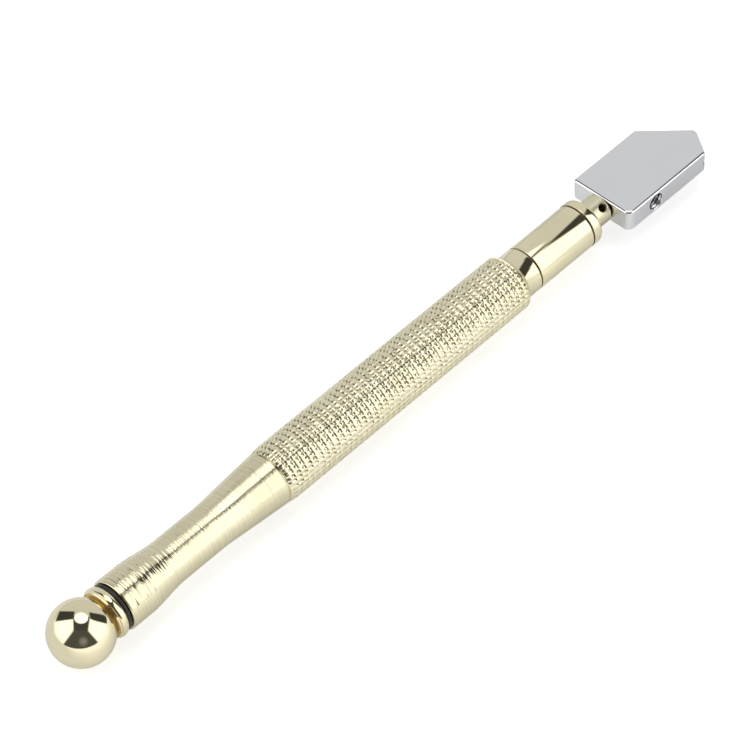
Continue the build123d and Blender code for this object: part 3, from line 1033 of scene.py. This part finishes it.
def studio(eye):
    """A dome of pale surroundings round the bench: two large soft boxes, a round lamp between
    them and the dark side of the room behind the photographer. Cameras see through it."""
    radius = 2.0
    surroundings = 0.68
    rows, columns = 48, 96
    verts = []
    for i in range(rows + 1):
        tilt = math.pi * i / rows
        for k in range(columns):
            turn = 2 * math.pi * k / columns
            verts.append(at(0) + Vector((math.sin(tilt) * math.cos(turn), math.sin(tilt) * math.sin(turn),
                                         math.cos(tilt))) * radius)
    faces = []
    for i in range(rows):
        for k in range(columns):
            n = (k + 1) % columns
            faces.append((i * columns + k, i * columns + n, (i + 1) * columns + n, (i + 1) * columns + k))
    dome = make_object("studio_dome", verts, faces, 0)
    dome.visible_camera = False
    material, nodes, links = new_material("studio_light")
    nodes.remove(nodes["Principled BSDF"])
    glow = nodes.new("ShaderNodeEmission")
    links.new(glow.outputs["Emission"], nodes["Material Output"].inputs["Surface"])
    dome.data.materials.append(material)

    def vector_math(operation, a, b=None):
        node = nodes.new("ShaderNodeVectorMath")
        node.operation = operation
        for socket, value in zip(node.inputs, (a, b)):
            if isinstance(value, Vector):
                socket.default_value = value
            elif value is not None:
                links.new(value, socket)
        return node.outputs["Value" if operation == "DOT_PRODUCT" else "Vector"]

    def sums(operation, a, b=0.0, clamp=False):
        node = nodes.new("ShaderNodeMath")
        node.operation = operation
        node.use_clamp = clamp
        for socket, value in zip(node.inputs, (a, b)):
            if isinstance(value, (int, float)):
                socket.default_value = value
            else:
                links.new(value, socket)
        return node.outputs["Value"]

    # Half way between a direction from the ball and the line of sight is the surface slope that
    # mirrors that direction to the photographer, which is how the lights are placed.
    sight = (eye - at(0)).normalized()
    across_axis = camera_up.cross(sight).normalized()
    up_axis = sight.cross(across_axis)
    position = nodes.new("ShaderNodeNewGeometry").outputs["Position"]
    direction = vector_math("NORMALIZE", vector_math("SUBTRACT", position, at(0)))
    halfway = vector_math("NORMALIZE", vector_math("ADD", direction, sight))
    across = vector_math("DOT_PRODUCT", halfway, across_axis)
    upward = vector_math("DOT_PRODUCT", halfway, up_axis)

    def panel(soft, *corners):
        """1 inside a convex panel with soft edges, 0 outside. Corners go anticlockwise."""
        inside = None
        for i, (x, y) in enumerate(corners):
            nx, ny = corners[(i + 1) % len(corners)]
            edge = Vector((nx - x, ny - y)).normalized()
            offset = edge.y * x - edge.x * y
            gap = sums("SUBTRACT", sums("MULTIPLY", upward, edge.x), sums("MULTIPLY", across, edge.y))
            share = sums("ADD", sums("MULTIPLY", sums("ADD", gap, offset), 1 / soft), 0.5, True)
            inside = share if inside is None else sums("MULTIPLY", inside, share)
        return inside

    def lamp(x, y, size, soft, squash=1.0):
        """1 inside a round lamp with a soft edge, or one as much as squash lower than it is wide."""
        dx = sums("SUBTRACT", across, x)
        dy = sums("MULTIPLY", sums("SUBTRACT", upward, y), 1 / squash)
        distance = sums("SQRT", sums("ADD", sums("MULTIPLY", dx, dx), sums("MULTIPLY", dy, dy)))
        return sums("ADD", sums("MULTIPLY", sums("SUBTRACT", size, distance), 1 / soft), 0.5, True)

    left_box = panel(0.12, (-0.74, 0.0), (-0.50, -0.34), (-0.20, 0.08), (-0.22, 0.40), (-0.72, 0.36))
    right_box = panel(0.12, (0.17, 0.08), (0.48, -0.29), (0.74, -0.06), (0.72, 0.26), (0.24, 0.40))
    dark_left = panel(0.03, (-0.71, 0.31), (-0.21, 0.38), (-0.18, 0.59), (-0.60, 0.60))
    dark_right = panel(0.03, (0.25, 0.385), (0.36, 0.33), (0.71, 0.245), (0.71, 0.42), (0.62, 0.49),
                       (0.215, 0.57))
    dark_middle = panel(0.03, (-0.21, 0.03), (0.18, 0.03), (0.24, 0.44), (-0.22, 0.46))
    dark_below = panel(0.04, (-0.50, -0.33), (-0.30, -0.43), (0.0, -0.47), (0.30, -0.42),
                       (0.48, -0.28), (0.18, 0.06), (-0.21, 0.06))
    faint_glow = lamp(0.06, -0.24, 0.10, 0.12)
    round_lamp = lamp(0.0, 0.405, 0.188, 0.03, 0.79)
    level = surroundings
    for strength, shape in (
        (1.5, left_box),
        (1.5, right_box),
        (0.05, dark_left),
        (0.05, dark_right),
        (0.06, dark_middle),
        (0.08, dark_below),
        (0.24, faint_glow),
        (1.7, round_lamp),
    ):
        difference = sums("SUBTRACT", strength, level)
        level = sums("ADD", level, sums("MULTIPLY", difference, shape))
    links.new(level, glow.inputs["Strength"])

    world = bpy.data.worlds.new("surroundings")
    bpy.context.scene.world = world
    world.use_nodes = True
    world.node_tree.nodes["Background"].inputs["Color"].default_value = (1, 1, 1, 1)
    world.node_tree.nodes["Background"].inputs["Strength"].default_value = 0.9


camera = bpy.data.objects.new("camera", bpy.data.cameras.new("camera"))
bpy.context.scene.collection.objects.link(camera)
camera.data.sensor_width = 36.0
camera.data.lens = 206.4
camera.data.clip_start = 0.05
camera.data.clip_end = 20.0
place = at(0) + (camera_right * to_right + camera_up * to_top + camera_back * to_camera) * mm
camera.matrix_world = Matrix((
    (camera_right.x, camera_up.x, camera_back.x, place.x),
    (camera_right.y, camera_up.y, camera_back.y, place.y),
    (camera_right.z, camera_up.z, camera_back.z, place.z),
    (0, 0, 0, 1),
))
bpy.context.scene.camera = camera
bpy.context.scene.view_settings.view_transform = "Standard"
studio(place)
